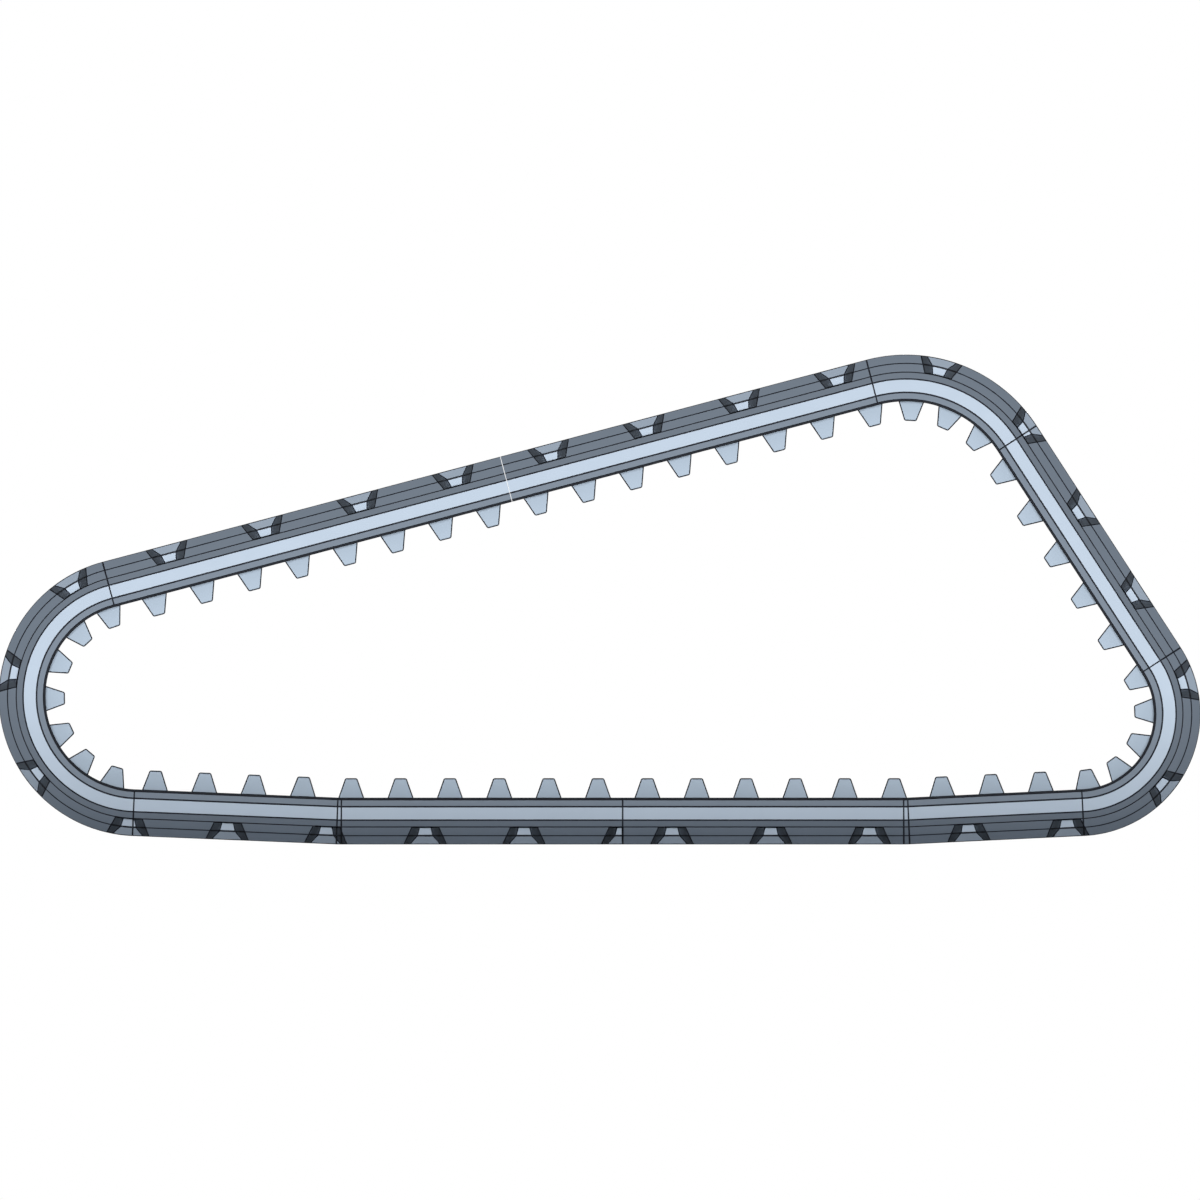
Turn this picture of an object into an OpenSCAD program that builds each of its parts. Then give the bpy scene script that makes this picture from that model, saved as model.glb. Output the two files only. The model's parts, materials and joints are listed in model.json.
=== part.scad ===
// Rubber track of a compact track loader, in the shape it takes round its wheels.
// +X runs from the front idler to the rear idler, +Y across the belt, +Z up.
// The origin is on the ground, under the middle of the track's length.
// The belt is split where it flexes when it rolls on by one pitch.

/* [Belt] */
// Links round the loop, an odd number
links = 55; // [55:2:57]
// Distance from one core insert to the next, along the steel cords
pitch = 86; // [85.5:0.1:86.5]
// Width over the side bands
track_w = 450; // [400:10:500]
// Thickness of the carcass, roller paths included
belt_t = 51; // [51:0.5:53]
// Depth of the steel cords below the roller paths
cord_depth = 42.7; // [42.5:0.1:43]
// Height of the roller paths over the carcass
rail_h = 3.5; // [2:0.5:5]

/* [Tread] */
// Height of the tread band
tread_t = 30.5; // [25:0.5:31]
// Length of a side pocket in the tread, at its floor
pocket_floor = 45; // [38:1:50]
// Length of a side pocket at the ground face
pocket_mouth = 73; // [60:1:78]
// How far a pocket reaches in from the edge of the tread band, at its floor
pocket_depth = 125; // [90:5:135]

/* [Guide lugs] */
// Height of a guide lug over the roller paths
lug_h = 34; // [28:1:38]
// Length of a lug at its foot, along the belt
lug_foot = 45; // [42:0.5:45.5]
// Length of a lug at its top, along the belt
lug_top = 21; // [18:1:26]
// Distance of a lug's middle from the centre line
lug_y = 56; // [56:1:60]
// Width of a lug at its foot, across the belt
lug_w = 46; // [40:1:48]

/* [Sprocket windows] */
// Length of a window along the belt
window_l = 42; // [38:1:42]
// Width of a window across the belt
window_w = 60; // [50:1:62]

/* [Wheel train] */
// Radius of the outer face round the front idler
front_r = 243; // [238:1:248]
// Height of the front idler's centre
front_z = 257.5; // [252:0.5:262]
// Radius of the outer face round the rear idler
rear_r = 213; // [210:1:216]
// Distance of the rear idler's centre behind the origin
rear_x = 834; // [826:1:842]
// Height of the rear idler's centre
rear_z = 227.5; // [222:0.5:232]
// Radius of the outer face round the drive sprocket
sprocket_r = 271.5; // [268:0.5:275]
// Distance of the sprocket's centre behind the origin
sprocket_x = 534; // [528:1:540]
// Height of the sprocket's centre
sprocket_z = 582; // [576:1:588]
// Distance from the origin to the end of the flat contact, in front
contact_front = 450; // [440:5:460]
// Distance from the origin to the end of the flat contact, behind
contact_rear = 530; // [520:5:540]
// Radius of the outer face round the end rollers
roller_r = 221; // [216:1:226]

/* [Reinforcement] */
// Diameter of a steel cord
cord_d = 5; // [4:0.5:5.5]
// Steel cords in each half of the belt
cords_a_side = 7; // [4:1:7]
// Thickness of the bias fabric ply
ply_t = 1.5; // [1:0.5:1.5]

/* [Hidden] */

// Colours
rubber = [0.62, 0.68, 0.74];
rubber_tread = [0.36, 0.39, 0.43];
rubber_lug = [0.60, 0.66, 0.73];
rubber_path = [0.40, 0.43, 0.47];
rubber_web = [0.55, 0.60, 0.66];
forged_steel = [0.45, 0.45, 0.46];
cord_steel = [0.72, 0.62, 0.38];
ply_fabric = [0.86, 0.82, 0.72];

total_t = belt_t + tread_t;
half_w = track_w / 2;
cord_inset = total_t - cord_depth;
target_len = links * pitch;

// Belt section: widths of its steps, measured from the centre line
side_top = 15.5;
side_bottom = 39.5;
foot_hw = half_w - 17;
shoulder_hw = half_w - 11;
rail_edge_hw = half_w - 16;
rail_inner = lug_y + lug_w / 2 + 7;
rail_lean = 2;
// Tread section: half height and the widths of its two side facets
tread_mid = belt_t + tread_t / 2;
tread_mid_hw = half_w - 39;
tread_face_hw = half_w - 62;
// Pocket: half lengths at the back wall, from floor to ground face
back_floor = 10.5;
back_mid = 14.4;
back_face = 28;
back_y = foot_hw - pocket_depth;
back_slope = 10;
pocket_over = 3;
// Core insert: a forged bar with two horns that stand in the guide lugs
core_top = 14;
core_bottom = 32;
core_half = 16;
core_tip = 13;
core_hw = half_w - 40;
horn_cover = 6;
horn_root = 2;
lug_seat = 8;
lug_draft = 9;
lug_corner = 4;
lug_corner_steps = 4;
// Flexing zone between two core inserts, and the clearances inside it
web_half = 20;
cord_gap = 0.8;
ply_gap = 2.5;
cut_gap = 0.5;
run_fit = 0.3;
web_fit = 0.05;
ply_depth = 46.5;
ply_hw = half_w - 27;
window_margin = 4;
cord_first = 54;
cord_step = 20;
// How far cutting shapes run past what they cut, and how finely arcs are drawn
slack = 1;
clear = 20;
tiny = 0.001;
arc_over = 1;
wrap_step = 0.02;
wrap_fn = 180;

// ---- Path: a tangent line and an arc for each wheel, from the splice on the ground ----
// The front idler is the take-up: its place follows from the length of the track.
splice_x = 40.25;
take_up_rate = 1.966;
front_guess = -804;

// A wheel is [x, z, radius of the outer face]
function train(fx) = [
    [contact_rear, roller_r, roller_r],
    [rear_x, rear_z, rear_r],
    [sprocket_x, sprocket_z, sprocket_r],
    [fx, front_z, front_r],
    [-contact_front, roller_r, roller_r]
];
function gap(a, b) = norm([b[0] - a[0], b[1] - a[1]]);
// Heading of the tangent line that leaves wheel a for wheel b
function heading(a, b) = atan2(b[1] - a[1], b[0] - a[0]) + asin((a[2] - b[2]) / gap(a, b));
function run_len(a, b) = sqrt(pow(gap(a, b), 2) - pow(a[2] - b[2], 2));
function head_out(w, i) = i < 0 || i == 4 ? 0 : heading(w[i], w[i + 1]);
function turn(w, i) = (head_out(w, i) - head_out(w, i - 1) + 720) % 360;
function head_in(w, i) = i == 0 ? 0 : head_in(w, i - 1) + turn(w, i - 1);
function cord_r(w, i) = w[i][2] - cord_inset;
function arc_len(w, i) = turn(w, i) * PI / 180 * cord_r(w, i);
function arc_start(w, i) =
    i == 0 ? w[0][0] - splice_x : arc_end(w, i - 1) + run_len(w[i - 1], w[i]);
function arc_end(w, i) = arc_start(w, i) + arc_len(w, i);
function loop_len(w) = arc_end(w, 4) + splice_x - w[4][0];
function take_up(fx, rounds) =
    rounds == 0 ? fx : take_up(fx + (loop_len(train(fx)) - target_len) / take_up_rate, rounds - 1);

wheels = train(take_up(front_guess, 8));
arcs = [for (i = [0:4]) [arc_start(wheels, i), arc_end(wheels, i)]];
heads_in = [for (i = [0:4]) head_in(wheels, i)];
heads_out = [for (i = [0:4]) heads_in[i] + turn(wheels, i)];
// Line j ends at wheel j; line 0 lies on the ground and holds the splice, at station 0
lines = [
    [arcs[4][1] - target_len, arcs[0][0]],
    for (i = [0:3]) [arcs[i][1], arcs[i + 1][0]]
];
function wheel_before(j) = (j + 4) % 5;
function inner_r(i) = wheels[i][2] - total_t;

// Point of the cord line at station s, as [x, z, heading]
function arc_point(i, s) =
    let (a = heads_in[i] + (s - arcs[i][0]) / cord_r(wheels, i) * 180 / PI)
    [wheels[i][0] + cord_r(wheels, i) * sin(a), wheels[i][1] - cord_r(wheels, i) * cos(a), a];
function line_point(j, s) =
    let (a = heads_in[j], d = s - lines[j][1], r = cord_r(wheels, j))
    [wheels[j][0] + r * sin(a) + d * cos(a), wheels[j][1] - r * cos(a) + d * sin(a), a];
function on_arc(s) = [for (i = [0:4]) if (s >= arcs[i][0] && s < arcs[i][1]) i];
function on_line(s) = [for (j = [0:4]) if (s >= lines[j][0] && s < lines[j][1]) j];
function wrapped(s) =
    s < lines[0][0] ? s + target_len : s >= arcs[4][1] ? s - target_len : s;
function station(s) =
    let (u = wrapped(s), a = on_arc(u))
    len(a) > 0 ? arc_point(a[0], u) : line_point(on_line(u)[0], u);

// Hinge numbers: hinge k lies at k pitches from the splice, between two core inserts
function hinge_in(i) = round(arcs[i][0] / pitch - 0.5);
function hinge_out(i) = round(arcs[i][1] / pitch - 0.5);
rear_in = hinge_in(1);
rear_out = hinge_out(1);
sprocket_in = hinge_in(2);
sprocket_out = hinge_out(2);
front_in = hinge_in(3);
front_out = hinge_out(3);
cut = round((sprocket_out + front_in) / 2);
bottom_in = front_out - links;

// ---- Placing and sweeping ----
// Stands children at station s: X along the belt, Z inwards, Z = 0 on the roller paths
module at_station(s) {
    p = station(s);
    translate([p[0], 0, p[1]])
        rotate([0, -p[2], 0])
            translate([0, 0, cord_depth])
                children();
}

// Frame at the centre of wheel i, with X along a heading; the belt runs below it
module at_wheel(i, head) {
    translate([wheels[i][0], 0, wheels[i][1]])
        rotate([0, -head, 0])
            children();
}

// Sweeps a section, drawn as [depth below the roller paths, y], from station s0 to s1
module sweep(s0, s1) {
    for (lap = [0, target_len]) {
        for (j = [0:4]) {
            a = max(s0 + lap, lines[j][0]);
            b = min(s1 + lap, lines[j][1]);
            if (b > a + tiny) sweep_line(j, a, b) children();
        }
        for (i = [0:4]) {
            a = max(s0 + lap, arcs[i][0]);
            b = min(s1 + lap, arcs[i][1]);
            if (b > a + tiny) sweep_arc(i, a, b) children();
        }
    }
}

// A straight stretch is built from the wheel that it touches, so that it meets the arc exactly
module sweep_line(j, a, b) {
    if (j > 0 && a < lines[j][0] + tiny)
        at_wheel(wheel_before(j), heads_out[wheel_before(j)])
            bar(a - lines[j][0], b - lines[j][0], inner_r(wheel_before(j))) children();
    else
        at_wheel(j, heads_in[j])
            bar(a - lines[j][1], b - lines[j][1], inner_r(j)) children();
}

module bar(x0, x1, radius) {
    translate([x0, 0, 0])
        rotate([0, 90, 0])
            linear_extrude(height = x1 - x0)
                translate([radius, 0])
                    children();
}

// An arc that reaches an end of its wheel's wrap runs past it, and is cut square there.
// Its section is a hair smaller than that of the straight stretches, so the two join cleanly.
module sweep_arc(i, a, b) {
    at_in = a < arcs[i][0] + tiny;
    at_out = b > arcs[i][1] - tiny;
    from = arc_point(i, a)[2] - (at_in ? arc_over : 0);
    to = arc_point(i, b)[2] + (at_out ? arc_over : 0);
    difference() {
        translate([wheels[i][0], 0, wheels[i][1]])
            rotate([90, 0, 0])
                rotate([0, 0, from - 90])
                    rotate_extrude(angle = to - from, $fn = wrap_fn)
                        translate([inner_r(i), 0])
                            offset(delta = -wrap_step)
                                children();
        if (at_in)
            at_wheel(i, heads_in[i])
                translate([-clear, -track_w, -wheels[i][2] - clear])
                    cube([clear, 2 * track_w, total_t + 2 * clear]);
        if (at_out)
            at_wheel(i, heads_out[i])
                translate([0, -track_w, -wheels[i][2] - clear])
                    cube([clear, 2 * track_w, total_t + 2 * clear]);
    }
}

// ---- Sections ----
module both_sides() {
    children();
    mirror([0, 1]) children();
}

// A section given as [depth, y] from the centre line outwards, with its mirror image
function whole(half) =
    concat(half, [for (i = [len(half) - 1 : -1 : 0]) [half[i][0], -half[i][1]]]);

// Outlines of one half of the belt, from the roller path down to the ground face
rail_line = [[rail_h, rail_inner], [0, rail_inner + rail_lean], [0, rail_edge_hw], [rail_h, shoulder_hw]];
carcass_line = [
    [rail_h, shoulder_hw], [side_top, half_w], [side_bottom, half_w], [belt_t, foot_hw]
];
tread_line = [[belt_t, foot_hw], [tread_mid, tread_mid_hw], [total_t, tread_face_hw]];

module carcass_section() {
    polygon(whole(carcass_line));
}

module rail_section() {
    both_sides() polygon(rail_line);
}

module tread_section() {
    polygon(whole(tread_line));
}

// The three layers as one
module belt_section() {
    polygon(whole(concat(
        [for (i = [0:2]) rail_line[i]],
        carcass_line,
        [for (i = [1:2]) tread_line[i]]
    )));
}

module cords_section(grow = 0) {
    both_sides()
        for (i = [0:cords_a_side - 1])
            translate([cord_depth, cord_first + i * cord_step])
                rotate(22.5)
                    circle(d = cord_d + 2 * grow, $fn = 8);
}

module ply_section(grow = 0) {
    translate([ply_depth - grow, -ply_hw - grow])
        square([ply_t + 2 * grow, 2 * (ply_hw + grow)]);
}

// ---- Local solids, placed with at_station ----
// A block with sloping sides: half sizes at its foot and at its top
module wedge(z0, z1, foot, top) {
    intersection() {
        rotate([90, 0, 0])
            linear_extrude(height = 2 * (foot[1] + slack), center = true)
                polygon([[-foot[0], z0], [foot[0], z0], [top[0], z1], [-top[0], z1]]);
        rotate([90, 0, 90])
            linear_extrude(height = 2 * (foot[0] + slack), center = true)
                polygon([[-foot[1], z0], [foot[1], z0], [top[1], z1], [-top[1], z1]]);
    }
}

// Side shape of a lug, with its two top corners rounded
module lug_profile() {
    slope = (lug_foot - lug_top) / 2 / lug_h;
    half_seat = lug_foot / 2 + slope * lug_seat;
    lean = atan(slope);
    cx = lug_top / 2 - lug_corner * (1 / cos(lean) - tan(lean));
    corner = [
        for (i = [0:lug_corner_steps])
            let (a = lean + (90 - lean) * i / lug_corner_steps)
            [cx + lug_corner * cos(a), lug_h - lug_corner + lug_corner * sin(a)]
    ];
    right = concat([[half_seat, -lug_seat]], corner);
    left = [for (i = [len(right) - 1 : -1 : 0]) [-right[i][0], right[i][1]]];
    polygon(concat(right, left));
}

module lug_body() {
    draft = tan(lug_draft);
    foot = lug_w / 2 + draft * lug_seat;
    top = lug_w / 2 - draft * lug_h;
    intersection() {
        rotate([90, 0, 0])
            linear_extrude(height = lug_w + clear, center = true)
                lug_profile();
        rotate([90, 0, 90])
            linear_extrude(height = lug_foot + clear, center = true)
                polygon([[-foot, -lug_seat], [foot, -lug_seat], [top, lug_h], [-top, lug_h]]);
    }
}

module lug_pair() {
    for (side = [-1, 1])
        translate([0, side * lug_y, 0])
            lug_body();
}

module horn_pair() {
    slope = (lug_foot - lug_top) / 2 / lug_h;
    draft = tan(lug_draft);
    z0 = -core_top - horn_root;
    z1 = lug_h - horn_cover;
    for (side = [-1, 1])
        translate([0, side * lug_y, 0])
            wedge(
                z0, z1,
                [core_half, lug_w / 2 - horn_cover - draft * z0],
                [lug_foot / 2 - horn_cover - slope * z1, lug_w / 2 - horn_cover - draft * z1]
            );
}

module core_insert() {
    translate([0, 0, -core_bottom])
        linear_extrude(height = core_bottom - core_top)
            polygon([
                [-core_half, -lug_y - lug_w],
                [-core_tip, -core_hw],
                [core_tip, -core_hw],
                [core_half, -lug_y - lug_w],
                [core_half, lug_y + lug_w],
                [core_tip, core_hw],
                [-core_tip, core_hw],
                [-core_half, lug_y + lug_w]
            ]);
    horn_pair();
}

// Side pocket. Each row is [depth, half length at the edge of the tread band, that edge's y,
// half length at the back wall, the back wall's y]
module pocket(side) {
    out = half_w + clear;
    rows = [
        [belt_t, pocket_floor / 2, foot_hw, back_floor, back_y],
        [tread_mid, (pocket_floor + pocket_mouth) / 4, tread_mid_hw, back_mid, back_y],
        [total_t, pocket_mouth / 2, tread_face_hw, back_face, back_y - back_slope]
    ];
    past = 2 * pocket_over / tread_t;
    levels = [
        rows[0] + past * (rows[0] - rows[1]),
        rows[1],
        rows[2] + past * (rows[2] - rows[1])
    ];
    ring = [
        for (v = levels)
            let (wide = v[3] + (v[1] - v[3]) * (out - v[4]) / (v[2] - v[4]))
            each [
                [wide, out, -v[0]], [-wide, out, -v[0]], [-v[3], v[4], -v[0]], [v[3], v[4], -v[0]]
            ]
    ];
    walls = [
        for (k = [0, 4], i = [0:3])
            let (a = k + i, b = k + (i + 1) % 4)
            each [[a, b, b + 4], [a, b + 4, a + 4]]
    ];
    faces = concat([[3, 2, 1, 0], [8, 9, 10, 11]], walls);
    mirror([0, side < 0 ? 1 : 0, 0])
        polyhedron(points = ring, faces = faces, convexity = 4);
}

// Half of a pocket, on the side of the splice given by way
module half_pocket(side, way) {
    intersection() {
        pocket(side);
        translate([way < 0 ? -pitch : 0, -track_w, -total_t - clear])
            cube([pitch, 2 * track_w, total_t + 2 * clear]);
    }
}

// ---- What lies between two hinges ----
// Openings for the sprocket teeth, right through the belt; their walls stay square to it
module windows(first, last, grow = 0) {
    for (k = [first:last])
        sweep(k * pitch - window_l / 2 - grow, k * pitch + window_l / 2 + grow)
            translate([-slack, -window_w / 2 - grow])
                square([total_t + 2 * slack, window_w + 2 * grow]);
}

module each_link(first, last) {
    for (k = [first:last - 1])
        at_station((k + 0.5) * pitch)
            children();
}

// Pockets alternate: odd hinges on the near side, even hinges on the far side
function near_side(k) = ((k + links) % links) % 2 == 1;

module pockets(first, last) {
    for (k = [first:last])
        at_station(k * pitch)
            if (k == 0) {
                half_pocket(-1, -1);
                half_pocket(1, 1);
            } else {
                pocket(near_side(k) ? -1 : 1);
            }
}

// A free end stops at the cut in the top run, all others at a flexing zone
function start_of(first) = first * pitch + (first == cut ? cut_gap : web_half);
function end_of(last) = last * pitch - (last == cut ? cut_gap : web_half);

module carcass(first, last) {
    color(rubber) difference() {
        sweep(start_of(first), end_of(last)) carcass_section();
        windows(first, last);
        each_link(first, last) core_insert();
        each_link(first, last) lug_pair();
        sweep(first * pitch, last * pitch) cords_section();
        difference() {
            sweep(first * pitch, last * pitch) ply_section();
            windows(first, last, window_margin);
        }
    }
}

module tread(first, last) {
    color(rubber_tread) difference() {
        sweep(start_of(first), end_of(last)) tread_section();
        windows(first, last);
        pockets(first, last);
    }
}

module roller_paths(first, last) {
    color(rubber_path) sweep(start_of(first), end_of(last)) rail_section();
}

module guide_lugs(first, last) {
    color(rubber_lug) each_link(first, last)
        difference() {
            lug_pair();
            core_insert();
        }
}

module core_inserts(first, last) {
    color(forged_steel) each_link(first, last) core_insert();
}

module steel_cords(first, last) {
    color(cord_steel) sweep(first * pitch + cord_gap, last * pitch - cord_gap) cords_section();
}

module fabric_ply(first, last) {
    color(ply_fabric) difference() {
        sweep(first * pitch + ply_gap, last * pitch - ply_gap) ply_section();
        windows(first, last, window_margin);
    }
}

// Rubber between two core inserts, at the hinge where the belt bends or straightens
module flex_web(k) {
    s0 = k * pitch - web_half + web_fit;
    s1 = k * pitch + web_half - web_fit;
    color(rubber_web) difference() {
        sweep(s0, s1) belt_section();
        windows(k, k);
        pockets(k, k);
        each_link(k - 1, k + 1) lug_pair();
        sweep(s0 - slack, s1 + slack) cords_section(run_fit);
        difference() {
            sweep(s0 - slack, s1 + slack) ply_section(run_fit);
            windows(k, k, window_margin - run_fit);
        }
    }
}

// bottom run
carcass(bottom_in, rear_in);  // carcass_bottom_run
tread(bottom_in, rear_in);  // tread_bottom_run
roller_paths(bottom_in, rear_in);  // roller_paths_bottom_run
guide_lugs(bottom_in, rear_in);  // guide_lugs_bottom_run
core_inserts(bottom_in, rear_in);  // core_inserts_bottom_run
steel_cords(bottom_in, rear_in);  // steel_cords_bottom_run
fabric_ply(bottom_in, rear_in);  // fabric_ply_bottom_run
// rear bend
carcass(rear_in, rear_out);  // carcass_rear_bend
tread(rear_in, rear_out);  // tread_rear_bend
roller_paths(rear_in, rear_out);  // roller_paths_rear_bend
guide_lugs(rear_in, rear_out);  // guide_lugs_rear_bend
core_inserts(rear_in, rear_out);  // core_inserts_rear_bend
steel_cords(rear_in, rear_out);  // steel_cords_rear_bend
fabric_ply(rear_in, rear_out);  // fabric_ply_rear_bend
// rear run
carcass(rear_out, sprocket_in);  // carcass_rear_run
tread(rear_out, sprocket_in);  // tread_rear_run
roller_paths(rear_out, sprocket_in);  // roller_paths_rear_run
guide_lugs(rear_out, sprocket_in);  // guide_lugs_rear_run
core_inserts(rear_out, sprocket_in);  // core_inserts_rear_run
steel_cords(rear_out, sprocket_in);  // steel_cords_rear_run
fabric_ply(rear_out, sprocket_in);  // fabric_ply_rear_run
// sprocket bend
carcass(sprocket_in, sprocket_out);  // carcass_sprocket_bend
tread(sprocket_in, sprocket_out);  // tread_sprocket_bend
roller_paths(sprocket_in, sprocket_out);  // roller_paths_sprocket_bend
guide_lugs(sprocket_in, sprocket_out);  // guide_lugs_sprocket_bend
core_inserts(sprocket_in, sprocket_out);  // core_inserts_sprocket_bend
steel_cords(sprocket_in, sprocket_out);  // steel_cords_sprocket_bend
fabric_ply(sprocket_in, sprocket_out);  // fabric_ply_sprocket_bend
// top rear
carcass(sprocket_out, cut);  // carcass_top_rear
tread(sprocket_out, cut);  // tread_top_rear
roller_paths(sprocket_out, cut);  // roller_paths_top_rear
guide_lugs(sprocket_out, cut);  // guide_lugs_top_rear
core_inserts(sprocket_out, cut);  // core_inserts_top_rear
steel_cords(sprocket_out, cut);  // steel_cords_top_rear
fabric_ply(sprocket_out, cut);  // fabric_ply_top_rear
// top front
carcass(cut, front_in);  // carcass_top_front
tread(cut, front_in);  // tread_top_front
roller_paths(cut, front_in);  // roller_paths_top_front
guide_lugs(cut, front_in);  // guide_lugs_top_front
core_inserts(cut, front_in);  // core_inserts_top_front
steel_cords(cut, front_in);  // steel_cords_top_front
fabric_ply(cut, front_in);  // fabric_ply_top_front
// front bend
carcass(front_in, front_out);  // carcass_front_bend
tread(front_in, front_out);  // tread_front_bend
roller_paths(front_in, front_out);  // roller_paths_front_bend
guide_lugs(front_in, front_out);  // guide_lugs_front_bend
core_inserts(front_in, front_out);  // core_inserts_front_bend
steel_cords(front_in, front_out);  // steel_cords_front_bend
fabric_ply(front_in, front_out);  // fabric_ply_front_bend
// flexing zones
flex_web(rear_in);  // flex_web_rear_in
flex_web(rear_out);  // flex_web_rear_out
flex_web(sprocket_in);  // flex_web_sprocket_in
flex_web(sprocket_out);  // flex_web_sprocket_out
flex_web(front_in);  // flex_web_front_in
flex_web(front_out);  // flex_web_front_out
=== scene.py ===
import json
import math

import bmesh
import bpy
from bpy.props import FloatProperty, FloatVectorProperty, IntProperty, PointerProperty
from mathutils import Matrix, Vector


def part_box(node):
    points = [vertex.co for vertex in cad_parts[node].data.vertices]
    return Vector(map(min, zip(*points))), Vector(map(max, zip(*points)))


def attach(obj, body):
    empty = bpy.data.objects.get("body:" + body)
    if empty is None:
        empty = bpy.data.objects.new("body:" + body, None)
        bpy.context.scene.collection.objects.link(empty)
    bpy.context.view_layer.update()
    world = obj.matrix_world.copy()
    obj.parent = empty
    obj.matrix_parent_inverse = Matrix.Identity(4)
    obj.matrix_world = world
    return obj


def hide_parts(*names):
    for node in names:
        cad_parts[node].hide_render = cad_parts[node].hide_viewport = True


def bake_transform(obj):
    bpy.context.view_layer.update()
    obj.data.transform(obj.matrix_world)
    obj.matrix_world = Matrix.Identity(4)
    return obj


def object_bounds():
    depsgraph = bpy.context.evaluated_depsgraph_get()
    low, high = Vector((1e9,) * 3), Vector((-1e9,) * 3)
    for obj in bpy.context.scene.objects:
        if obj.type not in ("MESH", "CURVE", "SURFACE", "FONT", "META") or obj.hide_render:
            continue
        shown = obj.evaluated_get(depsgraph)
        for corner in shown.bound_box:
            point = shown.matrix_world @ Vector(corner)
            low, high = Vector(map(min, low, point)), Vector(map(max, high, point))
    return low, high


bl_info = {
    "name": "Rubber track",
    "version": (1, 0, 0),
    "blender": (4, 5, 0),
    "location": "3D View > Sidebar > Track",
    "description": "Moulds the rubber of an endless track round its packed frame",
    "category": "Add Mesh",
}

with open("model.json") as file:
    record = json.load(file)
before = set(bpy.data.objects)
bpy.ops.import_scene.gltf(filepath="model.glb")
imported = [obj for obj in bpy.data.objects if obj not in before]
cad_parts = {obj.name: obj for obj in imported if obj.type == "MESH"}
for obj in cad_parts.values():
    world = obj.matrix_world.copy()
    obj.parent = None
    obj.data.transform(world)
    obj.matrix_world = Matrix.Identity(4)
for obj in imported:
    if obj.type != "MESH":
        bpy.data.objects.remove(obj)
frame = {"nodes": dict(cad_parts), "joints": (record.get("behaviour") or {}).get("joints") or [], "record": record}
CAD_LOW, CAD_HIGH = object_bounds()
RECORD = frame["record"]
SEATS = {mount["name"]: mount for mount in RECORD["mounts"]}
JOINTS = {joint["name"].removesuffix("_flex"): joint for joint in frame["joints"]}

# Stretches of the belt, each from one flexing zone to the next; the cut lies in the top run
STRETCHES = {
    "bottom_run": ("front_out", "rear_in"),
    "rear_bend": ("rear_in", "rear_out"),
    "rear_run": ("rear_out", "sprocket_in"),
    "sprocket_bend": ("sprocket_in", "sprocket_out"),
    "top_rear": ("sprocket_out", "cut"),
    "top_front": ("cut", "front_in"),
    "front_bend": ("front_in", "front_out"),
}
HALF_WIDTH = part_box("carcass_bottom_run")[1].y
LINE = 1  # material slot of a moulded piece's edge lines; slot 0 holds its faces

NEAR = 1e-6  # distance below which two points or stations are the same
CHORD = math.radians(1.8)  # longest step of a piece that follows an arc
EDGE_ANGLE = math.radians(12)  # edges that turn further than this get an edge line
CRISP_ANGLE = math.radians(16)  # edges that turn further than this are shaded sharp
SEAM_WIDTH = 0.8  # half width of a seam, as a part of the edge lines'
LUG_EDGE = 1.3  # width of a lug's edge lines, as a part of the edge lines'
PATH_LEAN = 0.002  # how far a roller path's inner side leans
LUG_ROOT = 0.0035  # how far a lug reaches into the carcass
ROUND_STEPS = 4  # steps in a lug's fillet, and one fewer than in its top corners


# ---- Sizes and colours ----
def length(name, default, description):
    """A length property in metres."""
    return FloatProperty(
        name=name, default=default, description=description, min=0.0, unit="LENGTH", precision=4
    )


class BeltSizes(bpy.types.PropertyGroup):
    """Sizes of the belt along its length and through its thickness."""

    links: IntProperty(
        name="Links", default=55, min=3, description="Core inserts round the loop"
    )
    pitch: length("Pitch", 0.086, "Distance between core inserts, along the cords")
    carcass_t: length("Carcass", 0.051, "Depth of the carcass below the roller paths")
    tread_t: length("Tread", 0.0305, "Height of the tread band")
    rail_h: length("Path height", 0.0035, "Height of the roller paths over the carcass")
    cord_depth: length("Cord depth", 0.0427, "Depth of the steel cords below the roller paths")
    web_half: length("Web half length", 0.020, "Half of a flexing zone between two core inserts")
    cut_gap: length("Cut gap", 0.0005, "Half of the square gap at the cut in the loop")
    roller_r: length("End roller radius", 0.221, "Outer face of the belt round an end roller")
    contact_front: length("Front contact", 0.450, "Flat contact in front of the origin")
    contact_rear: length("Rear contact", 0.530, "Flat contact behind the origin")
    splice: length("Splice", 0.04025, "Place of the seam on the ground run")


class SectionSizes(bpy.types.PropertyGroup):
    """Widths of the belt's steps, measured in from its edge."""

    half_w: length("Half width", HALF_WIDTH, "Centre line to the side bands")
    shoulder_in: length("Shoulder", 0.011, "Upper edge of the inner chamfer")
    foot_in: length("Foot", 0.017, "Lower edge of the outer chamfer")
    tread_mid_in: length("Tread middle", 0.039, "Break between the tread's two side facets")
    tread_face_in: length("Tread face", 0.062, "Edge of the ground face")
    rail_edge_in: length("Path edge", 0.016, "Outer edge of a roller path")
    rail_inner: length("Path inner edge", 0.086, "Centre line to the inner edge of a roller path")
    side_top: length("Band top", 0.0155, "Depth at which the side band starts")
    side_bottom: length("Band bottom", 0.0395, "Depth at which the side band ends")


class PocketSizes(bpy.types.PropertyGroup):
    """Sizes of the tread's side pockets and of the sprocket windows."""

    floor: length("Floor", 0.045, "Length of a pocket at its floor, at the edge of the tread")
    mouth: length("Mouth", 0.073, "Length of a pocket at the ground face")
    depth: length("Reach", 0.125, "How far a pocket reaches in from the edge of the tread")
    back_floor: length("Back floor", 0.0105, "Half length of the back wall at the floor")
    back_mid: length("Back middle", 0.0144, "Half length of the back wall at its break")
    back_face: length("Back face", 0.028, "Half length of the back wall at the ground face")
    back_slope: length("Back slope", 0.010, "How far the lower back wall leans inwards")
    window_l: length("Window length", 0.042, "Length of a sprocket window")
    window_w: length("Window width", 0.060, "Width of a sprocket window")


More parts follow.
